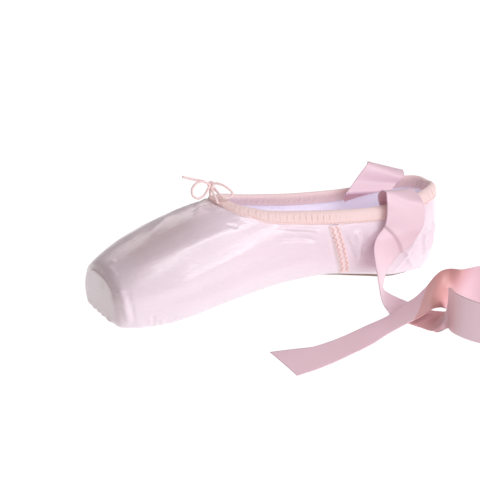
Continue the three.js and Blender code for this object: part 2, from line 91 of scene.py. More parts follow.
# Sections of the last: at, half width, half flat, underside, belly and crown as shares
LAST = [
    (0.0, HEEL_WIDTH, 0.34, 0.1, HEEL_CURL, 1.0, 1.6, INSTEP_HEIGHT, 0.96),
    (0.008, HEEL_WIDTH, 0.51, 0.3, HEEL_CURL, 0.62, 1.46, INSTEP_HEIGHT, 0.97),
    (0.035, HEEL_WIDTH, 0.77, 0.6, HEEL_CURL, 0.17, 1.25, INSTEP_HEIGHT, 0.975),
    (0.08, HEEL_WIDTH, 0.945, 0.79, HEEL_CURL, 0.008, 1.08, INSTEP_HEIGHT, 0.98),
    (0.11, HEEL_WIDTH, 0.985, 0.805, HEEL_CURL, 0.0, 1.03, INSTEP_HEIGHT, 0.98),
    (0.156, HEEL_WIDTH, 1.0, 0.81, ARCH_RISE, 0.0, 1.0, INSTEP_HEIGHT, 0.98),
    (0.26, HEEL_WIDTH, 1.01, 0.79, ARCH_RISE, 0.42, 1.08, INSTEP_HEIGHT, 0.99),
    (0.4, WAIST_WIDTH, 1.0, 0.76, ARCH_RISE, 0.95, 1.2, INSTEP_HEIGHT, 1.0),
    (0.52, WAIST_WIDTH, 1.08, 0.82, ARCH_RISE, 1.0, 1.27, INSTEP_HEIGHT, 1.0),
    (0.64, BALL_WIDTH, 0.94, 0.74, ARCH_RISE, 0.86, 1.3, INSTEP_HEIGHT, 0.995),
    (0.72, BALL_WIDTH, 1.0, 0.79, ARCH_RISE, 0.62, 1.2, INSTEP_HEIGHT, 0.955),
    (0.81, BALL_WIDTH, 1.0, 0.8, ARCH_RISE, 0.2, 1.0, INSTEP_HEIGHT, 0.865),
    (0.89, TOE_WIDTH, 1.09, 0.88, TOE_LIFT, 0.0, 0.87, INSTEP_HEIGHT, 0.751),
    (0.93, TOE_WIDTH, 1.04, 0.84, TOE_LIFT, 0.0, 0.83, INSTEP_HEIGHT, 0.682),
    (0.96, TOE_WIDTH, 0.99, 0.8, TOE_LIFT, 0.12, 0.8, PLATFORM_HEIGHT, 1.4),
    (0.99, PLATFORM_WIDTH, 1.1, 0.8, TOE_LIFT, 0.45, 0.76, PLATFORM_HEIGHT, 1.22),
    (1.0, PLATFORM_WIDTH, 0.94, 0.6, TOE_LIFT, 1.0, 0.78, PLATFORM_HEIGHT, 1.08),
]

# Collar edge from the back of the heel (0) to the throat (1): place, height it follows, share
COLLAR = [
    (0.0, COLLAR_BACK, 1.0),
    (0.08, COLLAR_BACK, 0.98),
    (0.19, COLLAR_BACK, 0.93),
    (0.34, COLLAR_SIDE, 1.02),
    (0.54, COLLAR_SIDE, 1.06),
    (0.74, COLLAR_SIDE, 1.135),
    (0.87, INSTEP_HEIGHT, 0.91),
    (0.93, INSTEP_HEIGHT, 0.947),
    (0.965, INSTEP_HEIGHT, 0.967),
    (0.985, INSTEP_HEIGHT, 0.98),
    (1.0, INSTEP_HEIGHT, 0.995),
]

# Leather sole from its heel end (0) to its toe end (1): place, breadth, share
SOLE = [
    (0.0, SOLE_HEEL_WIDTH, 0.9),
    (0.14, SOLE_HEEL_WIDTH, 1.0),
    (0.45, SOLE_WAIST_WIDTH, 1.0),
    (0.62, SOLE_WAIST_WIDTH, 1.22),
    (0.86, SOLE_FORE_WIDTH, 1.0),
    (1.0, SOLE_FORE_WIDTH, 0.93),
]

NEAR = -1
FAR = 1


# Curves

def knot_slopes(xs, ys):
    """Slopes of a smooth curve through knots that never overshoots them."""
    steps = np.diff(ys) / np.diff(xs)
    slopes = np.zeros(len(xs))
    slopes[0] = steps[0]
    slopes[-1] = steps[-1]
    for i in range(1, len(xs) - 1):
        a, b = steps[i - 1], steps[i]
        slopes[i] = 0 if a * b <= 0 else 2 * a * b / (a + b)
    return slopes


def smooth_curve(xs, ys):
    """A curve through knots, as a function."""
    xs = np.array(xs, float)
    ys = np.array(ys, float)
    slopes = knot_slopes(xs, ys)

    def curve(x):
        x = np.clip(x, xs[0], xs[-1])
        i = np.clip(np.searchsorted(xs, x, side="right") - 1, 0, len(xs) - 2)
        span = xs[i + 1] - xs[i]
        t = (x - xs[i]) / span
        a = (1 + 2 * t) * (1 - t) ** 2
        b = t * (1 - t) ** 2 * span
        c = t * t * (3 - 2 * t)
        d = t * t * (t - 1) * span
        return a * ys[i] + b * slopes[i] + c * ys[i + 1] + d * slopes[i + 1]

    return curve


def column(curve_of):
    return smooth_curve([row[0] for row in LAST], [curve_of(row) for row in LAST])


half_width = column(lambda row: row[1] / 2 * row[2])
half_flat = column(lambda row: row[1] / 2 * row[3])
underside = column(lambda row: UNDER_Z + row[4] * row[5])
belly = column(lambda row: BELLY_HEIGHT * row[6])
crown = column(lambda row: row[7] * row[8])
collar_curve = smooth_curve([row[0] for row in COLLAR], [row[1] * row[2] for row in COLLAR])
sole_curve = smooth_curve([row[0] for row in SOLE], [row[1] / 2 * row[2] for row in SOLE])
wall_at = smooth_curve([0, 0.5, 0.75, 1], [QUARTER_WALL, QUARTER_WALL, BOX_WALL, BOX_WALL])

# How far the soft ends of the form run on, past the last sections at the heel and the platform
HEEL_BULGE_AT = 0.005
TOE_BULGE_AT = 0.0035

# Where the flat of the underside and the lower quarter end, in the turn round a section
FLAT_END = 0.18
LOWER_END = 0.42

# How full the section's lower and upper quarters are (1 is an ellipse), and its flattening at the tips
LOWER_FULLNESS = 0.85
UPPER_FULLNESS = 0.9
END_SQUEEZE = 0.12


def along_x(at):
    return HEEL_X - SHOE_LENGTH * at


def collar_height(at):
    return collar_curve(np.clip(at, 0, None) / THROAT_AT)


def end_share(at):
    """How much of a section's width is left past the end sections."""
    heel = np.clip(-at / HEEL_BULGE_AT, 0, 1)
    toe = np.clip((at - 1) / TOE_BULGE_AT, 0, 1)
    past = np.maximum(heel, toe)
    return np.sqrt(np.clip(1 - past**2, 0, 1))


def half_point(at, turn):
    """Half width and height on the section at a place, for a turn from the underside to the crown."""
    at = np.asarray(at, float)
    turn = np.asarray(turn, float)
    wide, flat = half_width(at), half_flat(at)
    low, mid, high = underside(at), belly(at), crown(at)
    lower = np.clip((turn - FLAT_END) / (LOWER_END - FLAT_END), 0, 1) * math.pi / 2
    upper = np.clip((turn - LOWER_END) / (1 - LOWER_END), 0, 1) * math.pi / 2
    drop = np.clip(np.cos(lower), 0, 1) ** LOWER_FULLNESS
    out = flat * np.clip(turn / FLAT_END, 0, 1) + (wide - flat) * np.sin(lower)
    high_y = wide * np.clip(np.cos(upper), 0, 1) ** UPPER_FULLNESS
    high_z = mid + (high - mid) * np.sin(upper) ** UPPER_FULLNESS
    y = np.where(turn < LOWER_END, out, high_y)
    z = np.where(turn < LOWER_END, mid - (mid - low) * drop, high_z)
    share = end_share(at)
    squeeze = 1 - END_SQUEEZE * (1 - share)
    return y * share, mid + (z - mid) * squeeze


def form_point(at, turn, side):
    """Points of the last's surface on one side of the shoe."""
    y, z = half_point(at, turn)
    return np.stack([along_x(np.asarray(at, float)) + 0 * y, side * y, z], axis=-1)


def turn_at_height(at, height):
    """The turn at which the upper part of a section reaches a height."""
    mid, high = belly(at), crown(at)
    share = np.clip((height - mid) / (high - mid), 0, 1) ** (1 / UPPER_FULLNESS)
    return LOWER_END + (1 - LOWER_END) * np.arcsin(share) * 2 / math.pi


def turn_at_low_height(at, height):
    """The turn at which the lower part of a section reaches a height."""
    low, mid = underside(at), belly(at)
    share = np.clip((mid - height) / (mid - low), 0, 1) ** (1 / LOWER_FULLNESS)
    return FLAT_END + (LOWER_END - FLAT_END) * np.arccos(share) * 2 / math.pi


def side_point(x, z, side):
    """The point of the form at a place along the shoe and a height, on one side."""
    at = (HEEL_X - x) / SHOE_LENGTH
    turn = turn_at_height(at, z) if z > belly(at) else turn_at_low_height(at, z)
    return form_point(at, turn, side)


def top_point(x, y):
    """The point of the form's upper half at a place along the shoe and across it."""
    at = (HEEL_X - x) / SHOE_LENGTH
    share = min(abs(y) / half_width(at), 1) ** (1 / UPPER_FULLNESS)
    turn = LOWER_END + (1 - LOWER_END) * math.acos(share) * 2 / math.pi
    return form_point(at, turn, -1 if y < 0 else 1)


# Meshes

def new_mesh(name, points, faces, look):
    """A smooth mesh object from points in millimetres."""
    mesh = bpy.data.meshes.new(name)
    mesh.from_pydata([tuple(p) for p in np.asarray(points) * MM], [], faces)
    mesh.polygons.foreach_set("use_smooth", [True] * len(mesh.polygons))
    if look is not None:
        mesh.materials.append(look)
    mesh.update()
    made = bpy.data.objects.new(name, mesh)
    bpy.context.scene.collection.objects.link(made)
    return made


def grid_faces(rows, columns, flip=False, wrap=False):
    """Faces between rows of points, closed round each row if wrap is set."""
    faces = []
    last = columns if wrap else columns - 1
    for i in range(rows - 1):
        for j in range(last):
            k = (j + 1) % columns
            a, b = i * columns + j, i * columns + k
            face = (a, b, b + columns, a + columns)
            faces.append(face[::-1] if flip else face)
    return faces


def end_caps(rings, around):
    """The two end faces of a tube."""
    last = (rings - 1) * around
    return [tuple(range(around))[::-1], tuple(range(last, last + around))]


def unit_rows(vectors):
    return vectors / np.linalg.norm(vectors, axis=1)[:, None]


def run_along(points):
    """Distance from the first point of a line to each of its points."""
    return np.concatenate([[0], np.cumsum(np.linalg.norm(np.diff(points, axis=0), axis=1))])


def resample(values, run, places):
    """Rows of values at other places along a line."""
    return np.stack([np.interp(places, run, values[:, k]) for k in range(3)], axis=1)


def weld(points, faces, reach=0.02):
    """Joins points that share a place, and drops the faces that close up."""
    keys = {}
    index = np.zeros(len(points), int)
    kept = []
    for i, point in enumerate(np.round(np.asarray(points) / reach).astype(int)):
        key = tuple(point)
        if key not in keys:
            keys[key] = len(kept)
            kept.append(i)
        index[i] = keys[key]
    joined = []
    for face in faces:
        ring = []
        for corner in (index[i] for i in face):
            if corner not in ring:
                ring.append(int(corner))
        if len(ring) > 2:
            joined.append(tuple(ring))
    return np.asarray(points)[kept], joined


def vertex_normals(made):
    normals = np.zeros(len(made.data.vertices) * 3, np.float32)
    made.data.vertex_normals.foreach_get("vector", normals)
    return normals.reshape(-1, 3).astype(float)


def coordinates(made):
    flat = np.zeros(len(made.data.vertices) * 3, np.float32)
    made.data.vertices.foreach_get("co", flat)
    return flat.reshape(-1, 3).astype(float) / MM


def set_coordinates(made, points):
    made.data.vertices.foreach_set("co", (points * MM).astype(np.float32).ravel())
    made.data.update()


def store(made, name, values):
    """Keeps a value for each point of a mesh, for its material."""
    layer = made.data.attributes.new(name, "FLOAT", "POINT")
    layer.data.foreach_set("value", np.asarray(values, np.float32))


def ramp(value, low, high):
    """Rises smoothly from 0 at low to 1 at high."""
    t = np.clip((value - low) / (high - low), 0, 1)
    return t * t * (3 - 2 * t)


# The smooth form, for placing things on it

def end_places(count, reach, start, towards):
    """Places that run past an end section, closer together near the tip."""
    return [start + towards * reach * math.sin(i / count * math.pi / 2) for i in range(1, count + 1)]


END_ROWS = 8
FINE_STEP = 0.001
PLACE_EASE = 0.07
FORM_PLACES = 260
FORM_TURNS = 240


def form_places(body_count):
    """Places along the shoe, closer together near both ends."""
    body = np.linspace(0, 1, body_count)
    eased = body - PLACE_EASE * np.sin(2 * math.pi * body) / (2 * math.pi)
    heel = end_places(END_ROWS, HEEL_BULGE_AT, 0, -1)[::-1]
    toe = end_places(END_ROWS, TOE_BULGE_AT, 1, 1)
    fine_toe = [1 - FINE_STEP * i for i in range(1, END_ROWS)]
    fine_heel = [FINE_STEP * i for i in range(1, END_ROWS)]
    return np.array(sorted(set(heel + list(eased) + toe + fine_toe + fine_heel)))


class Form:
    """The last's surface, for the nearest point and its smooth normal."""

    def __init__(self):
        ats = form_places(FORM_PLACES)
        turns = np.linspace(0, 2, FORM_TURNS + 1)[:-1]
        points = []
        for at in ats:
            side = np.where(turns <= 1, NEAR, FAR)
            half = np.where(turns <= 1, turns, 2 - turns)
            points.append(form_point(np.full(len(turns), at), half, side))
        faces = grid_faces(len(ats), len(turns), wrap=True)
        points, faces = weld(np.concatenate(points), faces)
        made = new_mesh("form", points, faces, None)
        made.data.validate()
        self.points = points
        self.normals = vertex_normals(made)
        middle = points.mean(axis=0)
        if np.mean(np.sum(self.normals * (points - middle), axis=1)) < 0:
            self.normals = -self.normals
        self.faces = [tuple(p.vertices) for p in made.data.polygons]
        self.tree = BVHTree.FromPolygons([tuple(p) for p in points], self.faces)
        bpy.data.objects.remove(made)

    def nearest(self, point):
        place, _, index, _ = self.tree.find_nearest(Vector(point))
        corners = list(self.faces[index])
        gaps = np.linalg.norm(self.points[corners] - np.array(place), axis=1)
        weights = 1 / (gaps + 0.02) ** 2
        normal = (self.normals[corners] * weights[:, None]).sum(axis=0)
        return np.array(place), normal / np.linalg.norm(normal)

    def settle(self, points):
        found = [self.nearest(p) for p in points]
        return np.array([f[0] for f in found]), np.array([f[1] for f in found])


form = Form()


# Creases, placed on the form

def path_gap(points, path):
    """Distance of each point to a path, and how far along the path its nearest place is."""
    best = np.full(len(points), 1e9)
    where = np.zeros(len(points))
    lengths = np.linalg.norm(np.diff(path, axis=0), axis=1)
    total = lengths.sum()
    done = 0
    for a, b, length in zip(path[:-1], path[1:], lengths):
        run = (b - a) / length
        t = np.clip((points - a) @ run, 0, length)
        gap = np.linalg.norm(points - a - t[:, None] * run, axis=1)
        nearer = gap < best
        best[nearer] = gap[nearer]
        where[nearer] = (done + t[nearer]) / total
        done += length
    return best, where


def crease(points, path, width, depth, fade=0.25):
    """A soft ridge (depth above 0) or trough (below 0) along a path, which fades at both ends."""
    gap, where = path_gap(points, np.array(path))
    ends = ramp(where, 0, fade) * ramp(1 - where, 0, fade)
    return depth * np.exp(-((gap / width) ** 2)) * ends


# Folds of the satin: side, points as (x, z), width, depth
SIDE_FOLDS = [
    (NEAR, [(-105, 22), (-81, 28), (-55, 36), (-33, 41), (-18, 44)], 5, 0.81),
    (NEAR, [(-100, 14), (-69, 17), (-34, 23), (4, 26), (30, 26)], 5, 0.72),
    (NEAR, [(-104, 19), (-72, 23), (-34, 32), (-6, 35), (16, 33)], 3, -0.63),
    (NEAR, [(-112, 34), (-95, 41), (-64, 50), (-36, 55)], 4, 0.63),
    (NEAR, [(-13, 50), (5, 46), (20, 43)], 1.2, -0.54),
    (NEAR, [(-10, 47), (5, 44), (21, 40)], 2, 1.08),
    (NEAR, [(-16, 44), (4, 41), (18, 37)], 1.5, -1.08),
    (NEAR, [(27, 42), (29, 29), (32, 16)], 1.5, -0.72),
    (NEAR, [(37, 39), (42, 27), (47, 18)], 1.3, -1.22),
    (NEAR, [(46, 40), (47, 29), (49, 18)], 2.2, 1.53),
    (NEAR, [(54, 38), (50, 28), (49, 18)], 1.3, -1.22),
    (NEAR, [(62, 40), (60, 28), (58, 16)], 2.5, 0.54),
    (NEAR, [(95, 33), (87, 19), (75, 5)], 2, 1.53),
    (NEAR, [(94, 26), (84, 11), (78, 5)], 1.5, -1.22),
    (NEAR, [(83, 20), (88, 11), (93, 5)], 1.5, 0.92),
    (NEAR, [(102, 32), (99, 24), (101, 10)], 1.6, 1.53),
    (NEAR, [(106, 32), (104, 19), (98, 8)], 1.5, -1.53),
    (NEAR, [(110, 36), (109, 24), (106, 12)], 1.4, 1.22),
    (NEAR, [(-98, 12), (-97, 4)], 1, -0.9),
    (NEAR, [(-85, 10), (-84, 3)], 1, -0.9),
    (NEAR, [(-114, 31), (-114, 19), (-111, 7)], 2, 1.08),
    (NEAR, [(-116.5, 22), (-115, 13), (-113, 5)], 1.1, -0.63),
    (NEAR, [(-111, 29), (-110, 16), (-108, 4)], 1.2, -0.63),
    (FAR, [(-104, 21), (-78, 28), (-50, 37), (-26, 42)], 5, 0.81),
    (FAR, [(-100, 14), (-66, 18), (-30, 24), (10, 26)], 5, 0.72),
    (FAR, [(-110, 34), (-92, 42), (-60, 51), (-38, 55)], 4, 0.63),
    (FAR, [(-8, 48), (8, 45), (24, 41)], 2, 0.9),
    (FAR, [(-12, 44), (8, 41), (24, 38)], 1.6, -0.9),
    (FAR, [(28, 42), (29, 29), (31, 16)], 1.5, -0.72),
    (FAR, [(40, 40), (43, 28), (46, 18)], 1.6, -0.63),
    (FAR, [(50, 40), (51, 28), (53, 17)], 2.2, 0.72),
    (FAR, [(93, 34), (86, 20), (76, 6)], 2, 0.81),
    (FAR, [(103, 34), (100, 23), (99, 10)], 1.6, -0.81),
    (FAR, [(110, 36), (108, 23), (104, 10)], 1.5, 0.72),
    (FAR, [(-114, 30), (-113, 18), (-110, 7)], 2, 0.9),
]

# Folds on top of the vamp: points as (x, y), width, depth
TOP_FOLDS = [
    ([(-112, -2), (-110, -7)], 1, 0.54),
    ([(-114, -6), (-113.5, -16)], 1, 0.54),
    ([(-60, -7), (-51, -2), (-45, -9), (-39, -13)], 1.7, 1.08),
    ([(-58, 8), (-51, 2), (-45, 8), (-39, 13)], 1.7, 0.9),
    ([(-45, -21), (-38, -24)], 1, -0.54),
    ([(-42, -15), (-31, -20), (-16, -21), (-2, -23)], 1.2, 0.63),
    ([(-90, -6), (-74, 3), (-66, 12)], 4, 0.54),
    ([(-100, 6), (-96, 14)], 3, -0.54),
]

PLEAT_MIDDLE = -84
PLEAT_COUNT = 27
PLEAT_DEPTH = 0.22
PLEAT_SWAY = 1.5
PLEAT_TOP = 10


def pleats(points):
    """Pleats of the satin under the box, round the tip of the sole."""
    x, y, z = points.T
    turn = np.arctan2(y, PLEAT_MIDDLE - x)
    from_tip = np.hypot(x - PLEAT_MIDDLE, y)
    share = ramp(PLEAT_TOP - z, 0, 4) * ramp(PLEAT_MIDDLE - x, 0, 8) * ramp(from_tip, 12, 18)
    return PLEAT_DEPTH * np.sin(turn * PLEAT_COUNT + PLEAT_SWAY * np.sin(turn * 5)) * share


def fold_height(points):
    """Height of all folds and pleats at points of the form."""
    height = pleats(points)
    for side, path, width, depth in SIDE_FOLDS:
        height += crease(points, [side_point(x, z, side) for x, z in path], width, depth)
    for path, width, depth in TOP_FOLDS:
        height += crease(points, [top_point(x, y) for x, y in path], width, depth)
    return height


# Materials

def material(name, colour, roughness, **sockets):
    made = bpy.data.materials.new(name)
    made.use_nodes = True
    shader = made.node_tree.nodes["Principled BSDF"]
    shader.inputs["Base Color"].default_value = (*colour, 1)
    shader.inputs["Roughness"].default_value = roughness
    for key, value in sockets.items():
        shader.inputs[key.replace("_", " ")].default_value = value
    return made


def add_bump(made, scale, strength, distance, stretch=(1, 1, 1), detail=3):
    """Gives a material the small unevenness of cloth or leather."""
    nodes, links = made.node_tree.nodes, made.node_tree.links
    place = nodes.new("ShaderNodeTexCoord")
    mapping = nodes.new("ShaderNodeMapping")
    mapping.inputs["Scale"].default_value = stretch
    noise = nodes.new("ShaderNodeTexNoise")
    noise.inputs["Scale"].default_value = scale
    noise.inputs["Detail"].default_value = detail
    bump = nodes.new("ShaderNodeBump")
    bump.inputs["Strength"].default_value = strength
    bump.inputs["Distance"].default_value = distance
    links.new(place.outputs["Object"], mapping.inputs["Vector"])
    links.new(mapping.outputs["Vector"], noise.inputs["Vector"])
    links.new(noise.outputs["Fac"], bump.inputs["Height"])
    links.new(bump.outputs["Normal"], nodes["Principled BSDF"].inputs["Normal"])


def tint(made, attribute, colour):
    """Mixes a second colour into a material by an attribute of the mesh."""
    nodes, links = made.node_tree.nodes, made.node_tree.links
    shader = nodes["Principled BSDF"]
    share = nodes.new("ShaderNodeAttribute")
    share.attribute_name = attribute
    mix = nodes.new("ShaderNodeMixRGB")
    mix.inputs["Color1"].default_value = shader.inputs["Base Color"].default_value
    mix.inputs["Color2"].default_value = (*colour, 1)
    links.new(share.outputs["Fac"], mix.inputs["Fac"])
    links.new(mix.outputs["Color"], shader.inputs["Base Color"])


SATIN = (0.84, 0.7, 0.77)
# Darker tone: painted shade on the platform and the crest of the vamp, and real scuffs on the platform
SATIN_SHADE_AND_WEAR = (0.5, 0.36, 0.37)
TAPE = (0.84, 0.64, 0.63)
# Darker tone of the tape: painted shade in the hollows of the casing's gathers
TAPE_HOLLOW_SHADE = (0.55, 0.33, 0.27)
LINING = (0.9, 0.87, 0.97)
LEATHER = (0.3, 0.2, 0.16)
RIBBON = (0.86, 0.62, 0.7)
RIBBON_BACK = (0.85, 0.58, 0.66)
# Reddish tone of painted shade and reflected light where ribbon strands shade each other, and inside
# the collar
RIBBON_SHADE = (0.72, 0.3, 0.26)
THREAD = (0.88, 0.58, 0.54)
SEAM = (0.9, 0.71, 0.73)
# Glow of the tape and bow cords: painted light that brightens them in shade, though they are no lamp
TAPE_PAINTED_LIGHT = (1, 0.75, 0.72, 1)
# Glow of the lining and insole: painted light that brightens the shaded inside of the shoe
LINING_PAINTED_LIGHT = (0.97, 0.88, 1, 1)


def ribbon_look(name, colour):
    made = material(name, colour, 0.36, Sheen_Weight=0.2, Coat_Weight=0.1, Coat_Roughness=0.3)
    add_bump(made, 1500, 0.1, 0.0003)
    # Mixes in the reddish painted shade of the ribbons
    tint(made, "strand_shade", RIBBON_SHADE)
    return made


satin = material("satin", SATIN, 0.3, Sheen_Weight=0.25, Coat_Weight=0.65, Coat_Roughness=0.25)
add_bump(satin, 420, 0.45, 0.0009, stretch=(0.35, 1, 1), detail=8)
# The darker tone mixed in here is painted shade on the platform and the vamp's crest, with real scuffs
# on the platform
tint(satin, "shade_and_wear", SATIN_SHADE_AND_WEAR)
# The tape glows a little: painted light, which also brightens the bow cords made of it
tape = material("tape", TAPE, 0.75, Sheen_Weight=0.3,
                Emission_Color=TAPE_PAINTED_LIGHT, Emission_Strength=0.06)
add_bump(tape, 2200, 0.4, 0.0004)
# Painted shade in the hollows of the casing's gathers, by the fold share
tint(tape, "fold", TAPE_HOLLOW_SHADE)
# The lining glows a little: painted light for the shaded inside of the shoe, also on the insole
lining = material("lining", LINING, 0.9, Emission_Color=LINING_PAINTED_LIGHT, Emission_Strength=0.13)
add_bump(lining, 2000, 0.3, 0.0004)
leather = material("leather", LEATHER, 0.8)
add_bump(leather, 1800, 0.4, 0.0005)
ribbon_satin = ribbon_look("ribbon_satin", RIBBON)
ribbon_back = ribbon_look("ribbon_back", RIBBON_BACK)
thread = material("thread", THREAD, 0.5)
seam_satin = material("seam_satin", SEAM, 0.45, Sheen_Weight=0.2)
add_bump(seam_satin, 1500, 0.2, 0.0003)


# Satin skin and lining

def opening_half(at):
    """Half width of the opening under the shoe, where the inner sole shows through."""
    inset = SOLE_UNDERLAP
    start = (SOLE_HEEL_GAP + inset) / SHOE_LENGTH
    end = 1 - (SOLE_TOE_GAP + inset) / SHOE_LENGTH
    whole = 1 - (SOLE_TOE_GAP + SOLE_HEEL_GAP) / SHOE_LENGTH
    place = (at - SOLE_HEEL_GAP / SHOE_LENGTH) / whole
    half = sole_curve(place) - inset
    rounding = half * 0.9 / SHOE_LENGTH
    near = np.minimum(at - start, end - at)
    bend = np.sqrt(np.clip(1 - (1 - np.clip(near / rounding, 0, 1)) ** 2, 0, 1))
    return np.where(near <= 0, 0, half * bend)


TURN_STEPS = 400


def skin_turns(at, count):
    """Evenly spaced turns of the skin on one section, from the opening or middle to the collar."""
    fine = np.linspace(0, 1, TURN_STEPS)
    top = 1.0 if at >= THROAT_AT else float(turn_at_height(max(at, 0), collar_height(at)))
    flat = max(float(half_flat(at)), 1)
    low = min(float(opening_half(at)) / flat, 1) * FLAT_END
    y, z = half_point(np.full(TURN_STEPS, max(at, 0)), fine)
    run = np.concatenate([[0], np.cumsum(np.hypot(np.diff(y), np.diff(z)))])
    start, end = np.interp([low, top], fine, run)
    return np.interp(np.linspace(start, end, count), run, fine)


THROAT_ROWS = 22
THROAT_REACH = 0.045
THROAT_EASE = 1.8
PLACE_GAP = 0.0006


def throat_places(ats):
    """Adds places close together behind the throat, where the collar edge turns."""
    near = [THROAT_AT - THROAT_REACH * (i / THROAT_ROWS) ** THROAT_EASE for i in range(THROAT_ROWS)]
    kept = [at for at in ats if min(abs(at - n) for n in near) > PLACE_GAP]
    return np.array(sorted(kept + near))


def skin_grid(ats, count, side):
    rows = [form_point(np.full(count, at), skin_turns(at, count), side) for at in ats]
    return np.concatenate(rows)


def make_skin(name, look, body_count, count, offset, flip):
    """A skin over the form with its folds, moved out by an offset for each place."""
    ats = throat_places(form_places(body_count))
    points, faces = [], []
    for side in (NEAR, FAR):
        start = sum(len(p) for p in points)
        points.append(skin_grid(ats, count, side))
        turned = grid_faces(len(ats), count, flip=(side == FAR) != flip)
        faces += [tuple(i + start for i in face) for face in turned]
    points, faces = weld(np.concatenate(points), faces)
    made = new_mesh(name, points, faces, look)
    normals = vertex_normals(made)
    outward = form_normals(points, normals)
    at = (HEEL_X - points[:, 0]) / SHOE_LENGTH
    height = fold_height(points)
    moved = points + outward * (height + offset(at))[:, None]
    set_coordinates(made, moved)
    return made


def form_normals(points, normals):
    """Turns normals so that they all point out of the last."""
    middle = np.stack([points[:, 0] * 0.8, 0 * points[:, 1], 0 * points[:, 2] + 28], axis=1)
    facing = np.sum(normals * (points - middle), axis=1)
    return normals * np.where(facing < 0, -1, 1)[:, None]


# Crest of the vamp darkened with painted shade, as points (x, y), and worn places of the platform: y,
# z, reach
CREST_SHADE_PATH = [(-116, -3), (-100, -8), (-80, -10), (-60, -8), (-47, -4)]
SCUFFS = [(-14, 6, 4), (2, 5, 5), (13, 7, 4), (-20, 22, 2.5), (-6, 25, 3)]

# Width, depth and fade of the crest's painted shade, start and end of the platform's painted shade,
# and the depths there
CREST_SHADE = (13, 0.5, 0.35)
PLATFORM_EDGE = (112, 117.5)
PLATFORM_SHADE = 0.4
SCUFF_SHADE = 0.25


def satin_shade_and_wear(points):
    """Share of the darker tone: painted shade on the platform and along the crest of the vamp, and
    real wear at the platform's worn places.
    """
    x, y, z = points.T
    front = ramp(-x, *PLATFORM_EDGE)
    worn = sum(np.exp(-((y - at_y) ** 2 + (z - at_z) ** 2) / reach**2) for at_y, at_z, reach in SCUFFS)
    crest = crease(points, [top_point(*place) for place in CREST_SHADE_PATH], *CREST_SHADE)
    return np.clip(PLATFORM_SHADE * front + SCUFF_SHADE * front * worn + crest, 0, 1)


skin = make_skin("upper_satin", satin, 300, 140, lambda at: 0 * at, False)
# Painted shade on the platform and the vamp's crest, with real scuffs, kept as a share for the satin's
# colour
store(skin, "shade_and_wear", satin_shade_and_wear(coordinates(skin)))
inside = make_skin("upper_lining", lining, 150, 60, lambda at: -wall_at(at), True)


# Collar casing

def collar_edge(count):
    """Evenly spaced points from the heel along the near collar edge and back, and its length."""
    ats = np.concatenate([
        np.array(end_places(12, HEEL_BULGE_AT, 0, -1)[::-1]),
        THROAT_AT * (1 - (1 - np.linspace(0, 1, 400)) ** 1.6),
    ])
    turns = [float(turn_at_height(max(at, 0), collar_height(at))) for at in ats]
    near = form_point(ats, np.array(turns), NEAR)
    near[-1, 1] = 0
    far = near[::-1] * [1, -1, 1]
    loop = np.concatenate([near, far[1:]])
    run = run_along(loop)
    even = np.linspace(0, run[-1], count + 1)[:-1]
    return resample(loop, run, even), run[-1]


def smooth_loop(values, rounds):
    for _ in range(rounds):
        values = (np.roll(values, 1, axis=0) + 2 * values + np.roll(values, -1, axis=0)) / 4
    return values


def round_heel(values):
    """Smooths rows of values strongly round the back of the heel, where the loop starts and ends."""
    share = np.arange(len(values)) / len(values)
    near_heel = 1 - ramp(np.minimum(share, 1 - share), 0.05, 0.1)
    smooth = smooth_loop(values, 60)
    return values + (smooth - values) * near_heel[:, None]


COLLAR_COUNT = 720
DROPS = np.arange(0, CASING_HEIGHT + 0.01, 0.5)


def collar_frames():
    """Surface points and normals below the collar edge: one row of frames for each drop."""
    edge, length = collar_edge(COLLAR_COUNT)
    edge = round_heel(smooth_loop(edge, 6))
    tangent = unit_rows(np.roll(edge, -1, axis=0) - np.roll(edge, 1, axis=0))
    point, normal = form.settle(edge)
    normal = round_heel(smooth_loop(normal, 8))
    point = round_heel(point)
    rows = [(point, normal)]
    step = DROPS[1] - DROPS[0]
    for _ in DROPS[1:]:
        down = unit_rows(np.cross(normal, tangent))
        down *= np.where(down[:, 2] > 0, -1, 1)[:, None]
        point, normal = form.settle(point + down * step)
        point = round_heel(smooth_loop(point, 1))
        normal = round_heel(smooth_loop(normal, 8))
        rows.append((point, normal))
    return rows, unit_rows(rows[1][0] - rows[0][0]), length


collar_rows, collar_down, collar_length = collar_frames()


def collar_place(drop, offset):
    """Points all round the collar at a drop below its edge (negative is above) and an offset out."""
    if drop <= 0:
        point, normal = collar_rows[0]
        return point + collar_down * drop + normal * offset
    k = min(drop / (DROPS[1] - DROPS[0]), len(DROPS) - 1.001)
    low = int(k)
    share = k - low
    rows = zip(collar_rows[low], collar_rows[low + 1])
    point, normal = (a * (1 - share) + b * share for a, b in rows)
    return point + normal * offset


# Casing from its outer lower edge, over the collar edge, to its inner lower edge: drop, offset
OUT = CLEARANCE + CASING_THICKNESS
CASING_PROFILE = [
    (8.0, 0.0), (7.95, 0.7), (7.7, 1.0), (7.2, OUT), (6.4, OUT + 0.05), (5.4, OUT + 0.2),
    (4.2, OUT + 0.35), (3.0, OUT + 0.45), (1.8, OUT + 0.4), (0.8, OUT + 0.1), (0.0, OUT - 0.3),
    (-0.6, 0.3), (-1.0, -0.3), (-1.1, -0.8), (-0.9, -1.4), (-0.4, -2.0), (0.4, -2.4),
    (1.4, -2.6), (3.0, -2.6), (5.0, -2.6), (6.6, -2.6), (7.6, -2.5), (7.95, -2.2), (8.0, -1.5),
]


CASING_MIDDLE = CASING_HEIGHT / 2
GATHER_DEPTH = 0.2


def gather_share(u):
    """How strongly the casing is gathered at a share of the way round the collar."""
    return 0.45 + 0.35 * np.sin(2 * math.pi * u * 3 + 1.2) + 0.2 * np.sin(2 * math.pi * u * 7 + 0.4)


